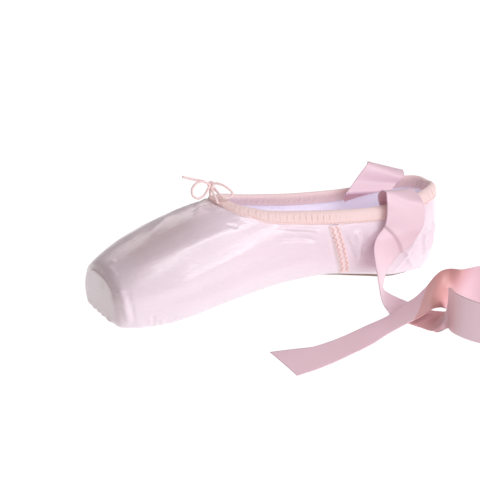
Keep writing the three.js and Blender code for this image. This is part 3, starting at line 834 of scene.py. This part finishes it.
def gathers(u, drop):
    """Ripples of the casing across its length, strongest along its drawn middle."""
    run = u * collar_length
    wave = np.sin(run * 2 * math.pi / 2.3 + 2.2 * np.sin(run / 9) + 0.25 * drop)
    wave += 0.6 * np.sin(run * 2 * math.pi / 4.1 + 1.4 * np.sin(run / 13) - 0.35 * drop)
    return wave * gather_share(u) * (0.35 + 0.65 * math.exp(-(((drop - CASING_MIDDLE) / 3) ** 2)))


def gather_shade(u, drop):
    """Painted shade in the hollows between the casing's gathers: how dark their colour is made there.
    """
    return np.clip(-0.6 * gathers(u, drop), 0, 1) * math.exp(-(((drop - CASING_MIDDLE) / 2.2) ** 2))


def make_casing():
    u = np.arange(COLLAR_COUNT) / COLLAR_COUNT
    normal = collar_rows[0][1]
    rows = []
    for drop, offset in CASING_PROFILE:
        outward = 1 if offset > -1 else -1
        ripple = GATHER_DEPTH * gathers(u, drop) * outward
        rows.append(collar_place(drop, offset) + normal * ripple[:, None])
    points = np.concatenate(rows)
    faces = grid_faces(len(rows), COLLAR_COUNT, wrap=True, flip=True)
    made = new_mesh("casing", points, faces, tape)
    # Share of painted shade in the hollows of the gathers
    store(made, "fold", np.concatenate([gather_shade(u, drop) for drop, _ in CASING_PROFILE]))
    return made


casing = make_casing()


# Side seams and stitches

SEAM_ROWS = 60
SEAM_COLUMNS = 13
SEAM_TOP_GAP = 0.2
SEAM_SEAT = 0.05
SEAM_GROOVE = 0.12
SEAM_GROOVE_REACH = 0.16
STITCH_PLACES = (0, 0.2, 0.5, 0.8, 1)
STITCH_SIDES = 6

# Zigzag of the side seams: stitches in a column, a column's middle and reach as shares of the width
ZIGZAG_COUNT = 19
ZIGZAG_MIDDLE = 0.45
ZIGZAG_REACH = 0.24
ZIGZAG_RADIUS = 0.34

# Running stitch of the casing
RUNNING_PITCH = 2.6
RUNNING_LENGTH = 1.7
RUNNING_DROP = 7.1
RUNNING_RADIUS = 0.2


def seam_places(share, shares_up, side):
    """Points and normals of a side seam at a share across it (-1 to 1) and shares of its height."""
    foot_x, top_x = along_x(SEAM_FOOT_AT), along_x(SEAM_TOP_AT)
    foot_z = float(underside(SEAM_FOOT_AT)) + SEAM_FOOT_LIFT
    top_z = float(collar_height(SEAM_TOP_AT)) - CASING_HEIGHT - SEAM_TOP_GAP
    middle = foot_x + (top_x - foot_x) * shares_up
    heights = foot_z + (top_z - foot_z) * shares_up
    across = share * SEAM_WIDTH / 2
    places = [side_point(x, z, side) for x, z in zip(middle + across, heights)]
    point, normal = form.settle(np.array(places))
    return point + normal * fold_height(point)[:, None], normal


def seam_swell(share):
    """Height of a side seam above the satin, with a groove along its middle."""
    cushion = (CLEARANCE + SEAM_THICKNESS) * (1 - abs(share) ** 5)
    return SEAM_SEAT + cushion - SEAM_GROOVE * math.exp(-((share / SEAM_GROOVE_REACH) ** 2))


def make_seam(name, side):
    up = np.linspace(0, 1, SEAM_ROWS)
    columns = []
    for share in np.linspace(-1, 1, SEAM_COLUMNS):
        point, normal = seam_places(share, up, side)
        columns.append(point + normal * seam_swell(share))
    points = np.stack(columns, axis=1).reshape(-1, 3)
    faces = grid_faces(SEAM_ROWS, SEAM_COLUMNS, flip=side == NEAR)
    return new_mesh(name, points, faces, seam_satin)


def stitch_rings(start, end, normal, radius):
    """Rings of one stitch, which rises out of the cloth and goes back into it."""
    along = (end - start) / np.linalg.norm(end - start)
    across = np.cross(along, normal)
    turn = np.arange(STITCH_SIDES) / STITCH_SIDES * 2 * math.pi
    ring = np.outer(np.cos(turn), across) + np.outer(np.sin(turn), normal)
    rings = []
    for place in STITCH_PLACES:
        lift = radius * (0.9 - 3.6 * (place - 0.5) ** 2)
        rings.append(start + (end - start) * place + normal * lift + radius * ring)
    return np.concatenate(rings)


def stitch_mesh(name, stitches, radius):
    """One mesh of many stitches: rows of start, end and the cloth's normal."""
    points, faces = [], []
    each = grid_faces(len(STITCH_PLACES), STITCH_SIDES, wrap=True)
    step = len(STITCH_PLACES) * STITCH_SIDES
    for k, (start, end, normal) in enumerate(stitches):
        points.append(stitch_rings(start, end, normal, radius))
        faces += [tuple(i + step * k for i in face) for face in each]
    made = new_mesh(name, np.concatenate(points), faces, thread)
    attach(made, "root")


def seam_stitches(side):
    """Two columns of zigzag stitches on a side seam."""
    stitches = []
    up = (np.arange(ZIGZAG_COUNT + 1) + 0.5) / (ZIGZAG_COUNT + 1)
    for middle in (-ZIGZAG_MIDDLE, ZIGZAG_MIDDLE):
        left, normal = seam_places(middle - ZIGZAG_REACH, up, side)
        right, _ = seam_places(middle + ZIGZAG_REACH, up, side)
        lift = normal * (CLEARANCE + SEAM_THICKNESS)
        for i in range(ZIGZAG_COUNT):
            start, end = (left[i], right[i + 1]) if i % 2 else (right[i], left[i + 1])
            stitches.append((start + lift[i], end + lift[i + 1], normal[i]))
    return stitches


def casing_stitches():
    """A running stitch round the casing, near its lower edge."""
    line = collar_place(RUNNING_DROP, OUT + 0.02)
    normal = collar_rows[int(RUNNING_DROP / (DROPS[1] - DROPS[0]))][1]
    count = int(collar_length / RUNNING_PITCH)
    each = COLLAR_COUNT / count
    reach = each * RUNNING_LENGTH / RUNNING_PITCH
    stitches = []
    for k in range(count):
        a, b = int(k * each), int(k * each + reach)
        stitches.append((line[a], line[b % COLLAR_COUNT], normal[a]))
    return stitches


for seam_name, seam_side, seam_node in (
    ("seam_near", NEAR, "side_seam_near"),
    ("seam_far", FAR, "side_seam_far"),
):
    seam = make_seam(seam_name, seam_side)
    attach(seam, "root")
    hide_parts(seam_node)

stitch_mesh("seam_stitches", seam_stitches(NEAR) + seam_stitches(FAR), ZIGZAG_RADIUS)
stitch_mesh("casing_stitches", casing_stitches(), RUNNING_RADIUS)


# Ribbons

# Middle of the ribbon, the direction across it, and its width's share where across runs slantwise
NEAR_RIBBON = [
    ((81, -23, 33), (1, 0.03, 0)),
    ((81, -20, 42.5), (1, 0.03, 0)),
    ((81, -18.2, 46), (1, 0.04, 0)),
    ((81, -15.6, 50), (1, 0.05, 0)),
    ((81, -13.9, 52.6), (1, 0.06, 0)),
    ((81, -13.4, 55.6), (1, 0.06, -0.02)),
    ((80.8, -17.5, 58.6), (0.98, 0.03, -0.1)),
    ((80.3, -22.5, 57.8), (0.97, 0, -0.2)),
    ((79.6, -27, 54), (0.96, -0.2, -0.15)),
    ((78.6, -30.5, 47), (0.94, -0.32, -0.1)),
    ((75.5, -33, 38.5), (0.93, -0.34, -0.1)),
    ((68, -34, 31.5), (0.93, -0.1, -0.3)),
    ((62, -34.5, 24), (0.85, 0.25, -0.45)),
    ((58.5, -36, 16), (0.7, 0.5, -0.5)),
    ((56, -39.5, 9.5), (0.6, 0.6, -0.5)),
    ((52.5, -46, 5.8), (0.58, 0.7, -0.36)),
    ((50, -54, 3.6), (0.65, 0.7, -0.2)),
    ((50, -62, 1.9), (0.75, 0.64, -0.08)),
    ((51, -69, 0.9), (0.85, 0.53, 0)),
    ((52.5, -76, 0.8), (0.88, 0.47, 0)),
    ((54.5, -83, 0.9), (0.9, 0.43, 0.02)),
    ((57, -90.5, 1.6), (0.87, 0.47, 0.06)),
    ((59.8, -97.5, 3), (0.8, 0.5, 0.15)),
    ((60.8, -103, 13), (0.05, 0.1, 0.99)),
    ((59.5, -110, 13), (0, 0, 1)),
    ((60.5, -121, 13), (0, 0, 1)),
    ((65, -132, 13), (0, 0, 1)),
    ((74, -143, 13), (0, 0, 1)),
    ((88, -148, 13), (0, 0, 1)),
    ((103, -143, 13), (0, 0, 1)),
    ((114, -131, 13), (0, 0, 1)),
    ((118, -114, 13), (0, 0, 1)),
    ((114, -96, 13), (0, 0, 1)),
    ((102, -83, 13), (0, 0, 1)),
    ((86, -82, 13), (0, 0, 1)),
    ((77.5, -80.8, 13.8), (0.2, 0.42, 0.88)),
    ((69.5, -82, 14.8), (0.38, 0.78, 0.5)),
    ((61, -83.5, 12.2), (0.45, 0.88, 0.12)),
    ((53, -84, 8.2), (0.46, 0.88, 0.02)),
    ((44, -83.5, 4.8), (0.48, 0.87, 0.01)),
    ((30, -86, 1.5), (0.55, 0.83, 0.02)),
    ((14, -91.5, 0.9), (0.42, 0.9, 0)),
    ((-3, -97, 0.8), (0.36, 0.93, 0)),
    ((-16, -100.5, 0.8), (0.3, 0.95, 0)),
    ((-29, -103, 0.8), (0.25, 0.97, 0)),
    ((-51.5, -102.5, 0.8), (0.05, 1, 0), 1.3),
]
FAR_RIBBON = [
    ((78, 16.6, 45.2), (0.98, -0.04, 0.17), 1.15),
    ((77.5, 13.5, 48), (1, -0.08, -0.03), 1.2),
    ((75.5, 7.8, 49.9), (0.99, -0.09, -0.07), 1.34),
    ((82.9, 10, 55.2), (0.98, -0.13, -0.15), 1.25),
    ((91.5, 11.4, 62.3), (0.9, -0.22, -0.37), 1.11),
    ((96, 19, 62.6), (0.93, -0.23, -0.29), 1.03),
    ((100, 27, 58), (0.92, -0.16, -0.36)),
    ((104, 35, 51), (0.9, -0.12, -0.42)),
    ((106, 42, 40), (0.9, -0.2, -0.35)),
    ((104, 45, 27), (0.95, -0.2, -0.2)),
    ((99, 48, 14), (0.9, 0.1, -0.4)),
    ((91, 52, 5), (0.6, 0.75, -0.25)),
    ((79, 55.5, 1.4), (0.3, 0.95, 0)),
    ((64, 57.5, 0.8), (0.1, 1, 0)),
    ((44, 58.5, 0.8), (0, 1, 0)),
    ((22, 59, 0.8), (0.05, 1, 0)),
    ((0, 61.5, 0.8), (0.15, 1, 0)),
    ((-20, 66, 0.8), (0.3, 0.95, 0)),
    ((-37, 74, 0.8), (0.6, 0.8, 0)),
    ((-46, 88, 0.8), (0.97, 0.2, 0)),
    ((-41, 104, 0.8), (0.85, -0.5, 0)),
    ((-27, 115, 0.8), (0.45, -0.9, 0)),
    ((-8, 120, 0.8), (0.15, -1, 0)),
    ((14, 121, 0.8), (0, -1, 0)),
    ((36, 119.5, 0.8), (-0.1, -1, 0)),
    ((58, 117, 0.8), (-0.12, -1, 0)),
    ((80, 115, 0.8), (-0.08, -1, 0)),
]
# Drawstring bow, from the middle of its knot
BOW = {
    "drawstring_far": [
        (1.4, 3, -9.8), (0.6, 2.4, -5.4), (0.2, 1, -2),
    ],
    "drawstring_near": [
        (1.4, -6.4, -10), (0.2, -4.4, -5.4), (-0.2, -1.6, -2),
    ],
    "bow_loop_left": [
        (-2, -0.8, 0.8), (-6, -1.6, 3.6), (-10, -1.6, 3.4), (-13.4, -1.6, 0.2),
        (-13.2, -1.6, -4), (-9.6, -1.6, -6.6), (-5.6, -1.6, -5.4), (-2, -1, -1),
    ],
    "bow_loop_right": [
        (2, -0.8, 0.8), (5.6, -3.5, 0.4), (9, -5.5, -2), (11.3, -6.5, -4.9),
        (9.5, -7.5, -6.7), (5.4, -7.2, -6.8), (2.9, -4.4, -4.4), (1.5, -1.4, -1.6),
    ],
    "bow_end_left": [
        (-1.8, 1.3, 1.2), (-6, 2.6, 3), (-9.5, 3, 3.9), (-17.5, 3, 6.8),
    ],
    "bow_end_right": [
        (1.4, 1.8, -1), (3, 3.6, -3), (5.4, 4.4, -5.4), (7.2, 4.6, -6.8),
    ],
}


FLOOR_GAP = 0.3
ROW_STEPS = 30
RIBBON_RINGS = 700
RIBBON_COLUMNS = 29

# Share of the width where the woven edge starts, and shares of the thickness there and between
EDGE_AT = 0.93
EDGE_SHARE = 1.25
CLOTH_SHARE = 0.7


def curve_point(rows, place):
    """A point of the smooth curve through rows, at a share of the way along them."""
    rows = np.asarray(rows, float)
    span = place * (len(rows) - 1)
    i = min(int(span), len(rows) - 2)
    t = span - i
    p1, p2 = rows[i], rows[i + 1]
    p0 = rows[i - 1] if i > 0 else 2 * p1 - p2
    p3 = rows[i + 2] if i + 2 < len(rows) else 2 * p2 - p1
    d0 = max(np.sum((p0 - p1) ** 2) ** 0.25, 1e-4)
    d1 = max(np.sum((p1 - p2) ** 2) ** 0.25, 1e-4)
    d2 = max(np.sum((p2 - p3) ** 2) ** 0.25, 1e-4)
    m1 = ((p1 - p0) / d0 - (p2 - p0) / (d0 + d1) + (p2 - p1) / d1) * d1
    m2 = ((p2 - p1) / d1 - (p3 - p1) / (d1 + d2) + (p3 - p2) / d2) * d1
    a = 2 * p1 - 2 * p2 + m1 + m2
    b = -3 * p1 + 3 * p2 - 2 * m1 - m2
    return p1 + m1 * t + b * t * t + a * t**3


def ribbon_path(rows, count):
    """Evenly spaced middle points of a ribbon, and the direction across it at each."""
    middles = [row[0] for row in rows]
    acrosses = [row[1] for row in rows]
    shares = np.linspace(0, 1, (len(rows) - 1) * ROW_STEPS + 1)
    middle = np.array([curve_point(middles, s) for s in shares])
    across = unit_rows(np.array([curve_point(acrosses, s) for s in shares]))
    wides = [row[2] if len(row) > 2 else 1 for row in rows]
    across *= np.interp(shares * (len(rows) - 1), range(len(rows)), wides)[:, None]
    run = run_along(middle)
    even = np.linspace(0, run[-1], count)
    return resample(middle, run, even), resample(across, run, even), run[-1]


def lift_clear(points):
    """Keeps a ribbon's points above the floor."""
    points[:, 2] = np.maximum(points[:, 2], FLOOR_GAP)
    return points


def ribbon_rings(middle, across, run, shape, shading):
    """Points round a ribbon's section, ring by ring, and the share of painted shade at each."""
    along = unit_rows(np.gradient(middle, axis=0))
    face = unit_rows(np.cross(along, across))
    top, low, strand_shade = [], [], []
    for share in np.linspace(-1, 1, RIBBON_COLUMNS):
        strand_shade.append(shading(run, share))
        height = shape(run, share)
        base = middle + across * (share * RIBBON_WIDTH / 2) + face * height[:, None]
        half = RIBBON_THICKNESS / 2 * (EDGE_SHARE if abs(share) > EDGE_AT else CLOTH_SHARE)
        top.append(base + face * half)
        low.append(base - face * half)
    points = np.stack(top + low[::-1], axis=1).reshape(-1, 3)
    return lift_clear(points), np.stack(strand_shade + strand_shade[::-1], axis=1).reshape(-1)


def ribbon_faces(is_turned):
    """Faces of a ribbon, and which of them show its back."""
    around = 2 * RIBBON_COLUMNS
    faces = grid_faces(RIBBON_RINGS, around, wrap=True)
    is_back = [(min(i % around for i in face) >= RIBBON_COLUMNS) != is_turned for face in faces]
    return faces + end_caps(RIBBON_RINGS, around), is_back + [False, False]


def make_ribbon(name, rows, nodes, shape, shading, is_turned=False):
    middle, across, length = ribbon_path(rows, RIBBON_RINGS)
    run = np.linspace(0, length, RIBBON_RINGS)
    points, strand_shade = ribbon_rings(middle, across, run, shape, shading)
    faces, is_back = ribbon_faces(is_turned)
    made = new_mesh(name, points, faces, ribbon_satin)
    made.data.materials.append(ribbon_back)
    made.data.polygons.foreach_set("material_index", [int(back) for back in is_back])
    # Share of painted shade for the ribbon's colour
    store(made, "strand_shade", strand_shade)
    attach(made, "root")
    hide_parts(*nodes)


# Where the near ribbon's upper fold ends in a point, and how far it stands off
LAP_RUN = 66.5
LAP_SLANT = 8.5
LAP_LIFT = 1.3

# Depth of the near ribbon's cup, and its waves: height, length along it, slant across it
CUP_DEPTH = 0.4
WAVES = [(0.28, 17, 1), (0.16, 7.3, -1.7)]


def near_shape(run, share):
    """Cup and waves of the near ribbon, and the lap where its upper fold ends in a point."""
    past = run - LAP_RUN - LAP_SLANT * share
    lap = LAP_LIFT * (1 - ramp(past, -0.4, 0.7)) * ramp(run, 30, 44)
    cup = -CUP_DEPTH * (1 - share**2) * ramp(run, 60, 110)
    wave = sum(height * np.sin(run / length + slant * share) for height, length, slant in WAVES)
    return cup + wave * ramp(run, 40, 80) + lap


# Where the near ribbon gets painted shade from the strands round it: run of its start, full shade,
# fade and end, slant of these across the ribbon, depth
SHADED_STRANDS = [
    (124, 136, 158, 167, 0, 0.55),
    (164, 169, 173, 188, 0, 0.35),
    (236, 258, 285, 320, 0, 0.3),
    (326, 345, 363.5, 364.8, 7.5, 0.75),
]


def near_painted_shade(run, share):
    """Share of painted shade on the near ribbon: a reddish tone where it lies in the shade and
    reflected light of its other strands.
    """
    parts = []
    for start, full, fade, end, slant, depth in SHADED_STRANDS:
        place = run + slant * share
        parts.append(depth * ramp(place, start, full) * (1 - ramp(place, fade, end)))
    return np.max(parts, axis=0)


def far_painted_shade(run, share):
    """The far ribbon gets painted shade only where it starts, inside the collar."""
    return 0.5 * (1 - ramp(run, 2, 9))


def far_shape(run, share):
    return 0.4 * np.sin(run / 19 + share) * ramp(run, 40, 80)


make_ribbon("near_ribbon", NEAR_RIBBON, ["ribbon_near"], near_shape, near_painted_shade)
make_ribbon("far_ribbon", FAR_RIBBON, ["ribbon_far"], far_shape, far_painted_shade, is_turned=True)


# Bow

KNOT = np.array([along_x(THROAT_AT) - KNOT_FORWARD, 0, INSTEP_HEIGHT + KNOT_LIFT])


CORD_SIDES = 14
CORD_STRANDS = 3
STRAND_DEPTH = 0.07
STRAND_TWIST = 4.5
CORD_STEP = 0.3
BOW_STEPS = 14


def cord_mesh(name, points, radius):
    """A cord with twisted strands along a line of points."""
    along = unit_rows(np.gradient(points, axis=0))
    up = np.cross(along[0], [0.3, 0.5, 0.8])
    turn = np.arange(CORD_SIDES) / CORD_SIDES * 2 * math.pi
    rings = []
    for point, run_at, direction in zip(points, run_along(points), along):
        up = up - direction * (up @ direction)
        up /= np.linalg.norm(up)
        side = np.cross(direction, up)
        swell = radius * (1 + STRAND_DEPTH * np.sin(CORD_STRANDS * turn + run_at * STRAND_TWIST))
        rings.append(point + np.outer(np.cos(turn) * swell, up) + np.outer(np.sin(turn) * swell, side))
    faces = grid_faces(len(points), CORD_SIDES, wrap=True) + end_caps(len(points), CORD_SIDES)
    return new_mesh(name, np.concatenate(rings), faces, tape)


def bow_line(*pieces):
    """Evenly spaced points of a cord through pieces of the bow, and its length."""
    points = np.concatenate([np.array(BOW[p], float) for p in pieces]) + KNOT
    shares = np.linspace(0, 1, len(points) * BOW_STEPS)
    line = np.array([curve_point(points, s) for s in shares])
    run = run_along(line)
    even = np.linspace(0, run[-1], int(run[-1] / CORD_STEP))
    return resample(line, run, even), run[-1]


def make_bow_cord(name, *pieces):
    line, length = bow_line(*pieces)
    made = cord_mesh(name, line, CORD_DIAMETER / 2)
    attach(made, "root")
    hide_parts(*pieces)


make_bow_cord("bow_cord_left", "drawstring_far", "bow_loop_left", "bow_end_right")
make_bow_cord("bow_cord_right", "drawstring_near", "bow_loop_right", "bow_end_left")


KNOT_TURNS = 1.6
KNOT_POINTS = 90
KNOT_LEAN = 0.5
KNOT_CORD_SHARE = 1.05


def make_knot():
    """A cord wound round the middle of the bow."""
    turns = np.linspace(0, 2 * math.pi * KNOT_TURNS, KNOT_POINTS)
    line = np.stack([
        1.25 * np.cos(turns) + 0.35 * np.cos(turns * 0.5),
        1.5 * np.sin(turns),
        1.3 * np.sin(turns + KNOT_LEAN) + 0.25 * np.sin(turns * 0.5),
    ], axis=1) + KNOT
    made = cord_mesh("knot_wrap", line, CORD_DIAMETER / 2 * KNOT_CORD_SHARE)
    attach(made, "root")
    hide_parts("bow_knot")


make_knot()


# Camera and light

CAMERA_AZIMUTH = -28.82
CAMERA_ELEVATION = 20.19
CAMERA_ROLL = 0.72
CAMERA_DISTANCE = 836.8
CAMERA_TARGET = (-23.64, 0, 35.94)
CAMERA_FOCUS_PX = 1350.7
IMAGE_PX = 480
SENSOR = 36

# Area lights: name, place and aim in metres, size, power, colour
LIGHTS = [
    ("key", (0.75, -1.4, 0.7), (0, 0, 0.03), (1.4, 0.5), 11.5, (0.97, 0.96, 1)),
    ("strip", (0.35, -0.9, 1.25), (0, 0, 0.04), (1.6, 0.12), 10, (1, 0.98, 1)),
    ("fill", (0.2, 1.4, 1.1), (0, 0, 0.03), (1.4, 0.6), 6, (1, 0.95, 0.95)),
]
WORLD_STRENGTH = 0.22
WORLD_COLOUR = (1, 0.92, 0.9)
FLOOR_COLOUR = (0.2, 0.2, 0.2)
FLOOR_GLOW = 0.95
FLOOR_REACH = 6000


def make_camera():
    a, e, r = (math.radians(v) for v in (CAMERA_AZIMUTH, CAMERA_ELEVATION, CAMERA_ROLL))
    back = Vector((math.sin(a) * math.cos(e), -math.cos(a) * math.cos(e), math.sin(e)))
    right = Vector((math.cos(a), math.sin(a), 0))
    up = back.cross(right)
    image_right = right * math.cos(r) + up * math.sin(r)
    image_up = up * math.cos(r) - right * math.sin(r)
    data = bpy.data.cameras.new("camera")
    data.sensor_width = SENSOR
    data.lens = CAMERA_FOCUS_PX / IMAGE_PX * SENSOR
    made = bpy.data.objects.new("camera", data)
    bpy.context.scene.collection.objects.link(made)
    turn = Matrix((image_right, image_up, back)).transposed()
    place = (Vector(CAMERA_TARGET) + back * CAMERA_DISTANCE) * MM
    made.matrix_world = Matrix.Translation(place) @ turn.to_4x4()
    bpy.context.scene.camera = made


def area_light(name, place, towards, size, power, colour):
    data = bpy.data.lights.new(name, "AREA")
    data.shape = "RECTANGLE"
    data.size, data.size_y = size
    data.energy = power
    data.color = colour
    made = bpy.data.objects.new(name, data)
    bpy.context.scene.collection.objects.link(made)
    made.location = place
    made.rotation_mode = "QUATERNION"
    made.rotation_quaternion = (Vector(towards) - Vector(place)).to_track_quat("-Z", "Y")


def make_world():
    world = bpy.data.worlds.new("world")
    world.use_nodes = True
    world.node_tree.nodes["Background"].inputs["Color"].default_value = (*WORLD_COLOUR, 1)
    world.node_tree.nodes["Background"].inputs["Strength"].default_value = WORLD_STRENGTH
    bpy.context.scene.world = world


def make_floor():
    look = material("floor", FLOOR_COLOUR, 0.9)
    shader = look.node_tree.nodes["Principled BSDF"]
    shader.inputs["Emission Color"].default_value = (1, 1, 1, 1)
    shader.inputs["Emission Strength"].default_value = FLOOR_GLOW
    corners = [(FLOOR_REACH * x, FLOOR_REACH * y, 0) for x, y in ((-1, -1), (1, -1), (1, 1), (-1, 1))]
    new_mesh("floor", corners, [(0, 1, 2, 3)], look)


for made, node_slot, nodes in (
    (skin, "satin", ["upper"]),
    (inside, "lining", []),
    (casing, "tape", ["collar_casing"]),
):
    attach(made, "root")
    if nodes:
        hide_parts(*nodes)

for node, look in (("outsole", leather), ("insole", lining)):
    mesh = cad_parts[node].data
    mesh.materials.clear()
    mesh.materials.append(look)

make_camera()
make_world()
make_floor()
for light in LIGHTS:
    area_light(*light)
bpy.context.scene.view_settings.view_transform = "Standard"
